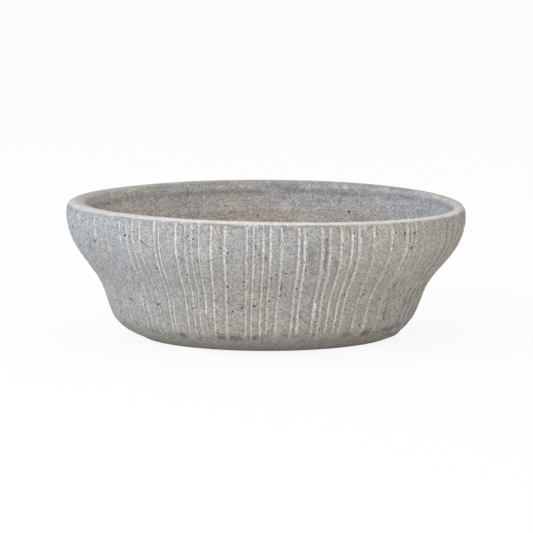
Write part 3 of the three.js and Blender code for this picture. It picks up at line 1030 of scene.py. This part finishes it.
class PlanterPaintSettings(bpy.types.PropertyGroup):
    """Colours of the concrete and the rubber."""

    # Wall warm and cool: the mottling's two ends, and also painted light, cool on the lit left and warm
    # on the right.
    wall_warm: colour_setting("Wall, warm", "Tan part of the wall's mottling", 178, 172, 163)
    wall_cool: colour_setting("Wall, cool", "Grey part of the wall's mottling", 164, 166, 170)
    wall_low: colour_setting("Wall, low", "Colour that the wall takes towards its foot", 168, 163, 155)
    # Bloom colours: pale paste in the grooves, and also a painted highlight on their lit walls.
    bloom_and_highlight_high: colour_setting("Bloom, high", "Pale lime in the grooves near the rim", 205, 207, 211)
    bloom_and_highlight_low: colour_setting("Bloom, low", "Pale lime in the grooves near the foot", 203, 200, 194)
    # Groove tan and grey: painted shade on each groove's left wall, tan on most of the bowl and grey on
    # its left.
    groove_shade_tan: colour_setting("Groove tan", "Bare cement on a groove's left side", 165, 155, 143)
    groove_shade_grey: colour_setting("Groove grey", "The same on the bowl's left", 162, 164, 168)
    # Dirt: real smears, and also painted shade and shadow beside the grooves, under the rim and inside.
    dirt_and_shade: colour_setting("Dirt", "Smears and groove edges", 98, 91, 83)
    foot: colour_setting("Foot", "Plain band at the foot", 160, 155, 148)
    rim_lime: colour_setting("Rim, limed", "Pale worn stretch of the rim, and chips", 213, 211, 206)
    rim_bare: colour_setting("Rim, bare", "Darker stretch of the rim", 174, 170, 162)
    # Inside warm and cool: a random tone, and painted light, cool where the inside faces the lamp and
    # near the rim.
    inner_warm: colour_setting("Inside, warm", "Tan part of the inside", 184, 177, 168)
    inner_cool: colour_setting("Inside, cool", "Bluish part of the inside", 158, 160, 166)
    # Inside, low: partly a stain and partly painted shade.
    inner_tan: colour_setting("Inside, low", "Brown stain low down at the back inside", 160, 150, 138)
    # Pits: painted shade in the air holes and the fine pinhole specks.
    pit: colour_setting("Pits", "Depth of the air holes", 26, 24, 21)
    plug_rubber: colour_setting("Stopper", "Rubber of the drain stopper", 62, 62, 61)
    pad_rubber: colour_setting("Pads", "Rubber of the foot pads", 74, 72, 70)
    dust: colour_setting("Dust", "Cement dust on the rubber", 132, 129, 123)


class PlanterFittingSettings(bpy.types.PropertyGroup):
    """Sizes of the rubber pieces that a user would change."""

    flutes: count_setting("Flutes", "Finger grooves round the stopper's knob", 12)
    flute_depth: length_setting("Flute depth", "Depth of the knob's finger grooves", 0.5 * MM)
    pad_ring_depth: length_setting("Pad ring depth", "Depth of the grip rings under a pad", 0.35 * MM)


class PlanterStudioSettings(bpy.types.PropertyGroup):
    """Camera, lamps and floor."""

    distance: length_setting("Distance", "Camera to the bowl's middle", 5.2)
    elevation: number_setting(
        "Elevation", "Camera angle above the floor", math.radians(7.44), subtype="ANGLE",
    )
    lens: number_setting("Lens", "Focal length on a 36 mm sensor", 350.9, unit="CAMERA")
    aim: FloatVectorProperty(
        name="Aim", description="Point that the camera looks at", default=(0.0005, 0, 0.0689),
        subtype="XYZ", unit="LENGTH",
    )
    sky: number_setting("Sky", "Strength of the light from all round", 0.8, min=0)
    sky_colour: colour_setting("Sky colour", "Tint of the light from all round", 250, 250, 252)
    side_power: number_setting("Side", "Power of the cool lamp at the left", 26, unit="POWER")
    front_power: number_setting("Front", "Power of the lamp at the front left", 37, unit="POWER")
    top_power: number_setting("Top", "Power of the lamp overhead", 8, unit="POWER")
    floor_colour: colour_setting("Floor", "Plain pale floor", 238, 237, 235)
    backdrop_share: number_setting(
        "Backdrop share", "How much of the floor's look is plain white", 0.9,
        min=0, max=1, subtype="FACTOR",
    )


# ---- operators ----

class PLANTER_OT_cast_bowl(bpy.types.Operator):
    """Cast the concrete bowl with its grooves, rim, pinholes and marks"""

    bl_idname = "planter.cast_bowl"
    bl_label = "Cast the bowl"

    def execute(self, context):
        bowl = context.scene.planter_bowl
        casting = build_casting(bowl)
        surface = Surface(casting, bowl)
        material = concrete_material(context.scene.planter_paint)
        obj, used = new_object("bowl_casting", surface.positions(), casting.faces, material)
        if len(obj.data.polygons) != len(casting.faces):
            raise RuntimeError("the bowl's mesh lost faces when it was made")
        for name, values in surface.marks().items():
            add_values(obj.data, name, values[used])
        lay_out_map(obj.data, surface.angle[used], surface.along[used])
        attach(obj, "planter")
        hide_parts("bowl")
        return {"FINISHED"}


def revolve(outline, columns, ripple=None):
    """Points and faces of a closed lathe form; ripple(angle, row) adds to each point's radius."""
    angles = np.arange(columns) * TURN / columns
    points = []
    rings = []
    for row, (radius, height) in enumerate(outline):
        if radius < 1e-9:
            rings.append([len(points)] * columns)
            points.append((0, 0, height))
            continue
        rings.append(list(range(len(points), len(points) + columns)))
        for angle in angles:
            away = radius + (ripple(angle, row) if ripple else 0)
            points.append((away * math.sin(angle), -away * math.cos(angle), height))
    faces = []
    for lower, upper in zip(rings, rings[1:]):
        for i in range(columns):
            j = (i + 1) % columns
            faces.append(tuple(dict.fromkeys((lower[i], lower[j], upper[j], upper[i]))))
    return np.array(points) * MM, faces


def seat(points, node):
    """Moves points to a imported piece's place: over its middle, and down to its underside."""
    low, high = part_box(node)
    points += np.array([(low.x + high.x) / 2, (low.y + high.y) / 2, low.z - points[:, 2].min()])


class PLANTER_OT_mould_stopper(bpy.types.Operator):
    """Mould the rubber stopper that closes the drain hole"""

    bl_idname = "planter.mould_stopper"
    bl_label = "Mould the stopper"

    def execute(self, context):
        fitting = context.scene.planter_fitting
        flute = fitting.flute_depth / MM
        outline = [
            (0, -10), (9.0, -10), (9.7, -9.8), (10.5, -9.2), (10.9, -8.6), (10.7, -7.2), (11.1, -6.6),
            (11.0, -4.4), (11.4, -3.8), (11.4, -3.0), (11.0, -2.4), (11.3, 0.02), (16.2, 0.02),
            (16.8, 0.3), (17, 0.8), (16.9, 1.9), (16.3, 2.6), (15.2, 2.9), (13.6, 2.75), (12.8, 2.45),
            (11.6, 2.45), (10.8, 2.8), (9.4, 3.2), (6.6, 3.2), (5.6, 3.5), (5.1, 4.6), (5.2, 5.8),
            (6.3, 7.2), (6.9, 8.3), (6.95, 9.4), (6.5, 10.3), (5.6, 10.9), (4.2, 11.15), (2.0, 11.2),
            (0, 11.2),
        ]
        knob_rows = range(26, 32)

        def ripple(angle, row):
            if row not in knob_rows:
                return 0
            return -flute * (0.5 + 0.5 * math.cos(fitting.flutes * angle)) ** 2

        points, faces = revolve(outline, 96, ripple)
        seat(points, "drain_plug")
        paint = context.scene.planter_paint
        material = rubber_material("stopper_rubber", paint.plug_rubber, paint.dust, 0.62)
        obj, _ = new_object("drain_stopper", points, faces, material, 50)
        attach(obj, "plug")
        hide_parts("drain_plug")
        return {"FINISHED"}


class PLANTER_OT_fit_pads(bpy.types.Operator):
    """Fit the rubber pads under the foot ring"""

    bl_idname = "planter.fit_pads"
    bl_label = "Fit the pads"

    def execute(self, context):
        deep = context.scene.planter_fitting.pad_ring_depth / MM
        outline = [(0, 0.05)]
        for ring in (1.8, 3.6, 5.4):
            outline += [(ring - 0.5, 0), (ring - 0.2, deep), (ring + 0.2, deep), (ring + 0.5, 0)]
        outline += [(6.8, 0), (7.3, 0.2), (7.5, 0.6), (7.4, 1.2), (7.2, 1.5), (0, 1.5)]
        paint = context.scene.planter_paint
        material = rubber_material("pad_rubber", paint.pad_rubber, paint.dust, 0.75)
        for node in frame["record"]["behaviour"]["bodies"]["planter"]:
            if not node.startswith("foot_pad"):
                continue
            points, faces = revolve(outline, 64)
            seat(points, node)
            obj, _ = new_object(node + "_rubber", points, faces, material, 50)
            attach(obj, "planter")
            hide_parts(node)
        return {"FINISHED"}


def show_white(tree, kind, shader, share, output):
    """Puts plain white in place of a shader, by a share, where a ray should see the background."""
    path = add_node(tree, "LightPath").outputs
    seen = combine(tree, "MAXIMUM", path["Is Camera Ray"], path["Is Glossy Ray"])
    seen = combine(tree, "MAXIMUM", seen, path["Is Transmission Ray"])
    white = add_node(tree, kind, {"Color": (1, 1, 1, 1), "Strength": 1.0})
    chosen = seen if share == 1 else combine(tree, "MULTIPLY", seen, share)
    mixed = add_node(tree, "MixShader", {0: chosen, 1: shader.outputs[0], 2: white.outputs[0]})
    feed(tree.nodes[output], {"Surface": mixed.outputs[0]})


def aim_object(name, data, place_at, target):
    """A lamp or camera at a place, turned to look at a point."""
    obj = bpy.data.objects.new(name, data)
    obj.location = place_at
    obj.rotation_euler = (Vector(target) - obj.location).to_track_quat("-Z", "Y").to_euler()
    bpy.context.scene.collection.objects.link(obj)
    return obj


def add_lamp(name, place_at, size, power, colour):
    """A round soft lamp that lights the bowl and isn't seen."""
    lamp = bpy.data.lights.new(name, "AREA")
    lamp.shape = "DISK"
    lamp.size = size
    lamp.energy = power
    lamp.color = colour
    aim_object(name, lamp, place_at, (0, 0, 0.07)).visible_camera = False


class PLANTER_OT_set_stage(bpy.types.Operator):
    """Set up the floor, the soft studio light and the camera"""

    bl_idname = "planter.set_stage"
    bl_label = "Set the stage"

    def execute(self, context):
        studio = context.scene.planter_studio
        self.lay_floor(studio)
        self.light_world(context.scene, studio)
        add_lamp("side_lamp", (-2.9, -0.1, 1.3), 1.6, studio.side_power, (0.66, 0.84, 1.0))
        add_lamp("front_lamp", (-1.3, -2.8, 1.5), 1.4, studio.front_power, (1.0, 0.99, 0.97))
        add_lamp("top_lamp", (0.1, 0.4, 2.6), 1.6, studio.top_power, (1.0, 0.99, 0.97))
        self.place_camera(context.scene, studio)
        return {"FINISHED"}

    def lay_floor(self, studio):
        half = 9.0
        corners = [(-half, -half, 0), (half, -half, 0), (half, half, 0), (-half, half, 0)]
        material, tree = new_material("plain_floor")
        shader = tree.nodes["Principled BSDF"]
        paint = (*studio.floor_colour, 1)
        feed(shader, {"Base Color": paint, "Roughness": 1.0, "Specular IOR Level": 0.0})
        show_white(tree, "Emission", shader, studio.backdrop_share, "Material Output")
        floor, _ = new_object("floor", np.array(corners, float), [(0, 1, 2, 3)], material)

    def light_world(self, scene, studio):
        scene.world = bpy.data.worlds.new("studio")
        scene.world.use_nodes = True
        tree = scene.world.node_tree
        sky = tree.nodes["Background"]
        feed(sky, {"Color": (*studio.sky_colour, 1), "Strength": studio.sky})
        show_white(tree, "Background", sky, 1, "World Output")

    def place_camera(self, scene, studio):
        camera = bpy.data.cameras.new("camera")
        camera.lens = studio.lens
        camera.clip_end = 100
        aim = Vector(studio.aim)
        back = Vector((0, -math.cos(studio.elevation), math.sin(studio.elevation)))
        scene.camera = aim_object("camera", camera, aim + back * studio.distance, aim)
        scene.view_settings.view_transform = "Standard"


class VIEW3D_PT_planter(bpy.types.Panel):
    """Lists the planter's pieces and settings"""

    bl_label = "Concrete bowl planter"
    bl_space_type = "VIEW_3D"
    bl_region_type = "UI"
    bl_category = "Planter"

    def draw(self, context):
        for operator in OPERATORS:
            self.layout.operator(operator.bl_idname)
        for pointer, group in SETTINGS.items():
            box = self.layout.box()
            for name in group.__annotations__:
                box.prop(getattr(context.scene, pointer), name)


SETTINGS = {
    "planter_bowl": PlanterBowlSettings,
    "planter_paint": PlanterPaintSettings,
    "planter_fitting": PlanterFittingSettings,
    "planter_studio": PlanterStudioSettings,
}
OPERATORS = (
    PLANTER_OT_cast_bowl, PLANTER_OT_mould_stopper, PLANTER_OT_fit_pads, PLANTER_OT_set_stage,
)


def register():
    for group in (*SETTINGS.values(), *OPERATORS, VIEW3D_PT_planter):
        bpy.utils.register_class(group)
    for pointer, group in SETTINGS.items():
        setattr(bpy.types.Scene, pointer, PointerProperty(type=group))


def unregister():
    for pointer in SETTINGS:
        delattr(bpy.types.Scene, pointer)
    for group in reversed((*SETTINGS.values(), *OPERATORS, VIEW3D_PT_planter)):
        bpy.utils.unregister_class(group)


def main():
    register()
    bpy.ops.planter.cast_bowl()
    bpy.ops.planter.mould_stopper()
    bpy.ops.planter.fit_pads()
    bpy.ops.planter.set_stage()
    bpy.context.view_layer.update()


if __name__ == "__main__":
    main()
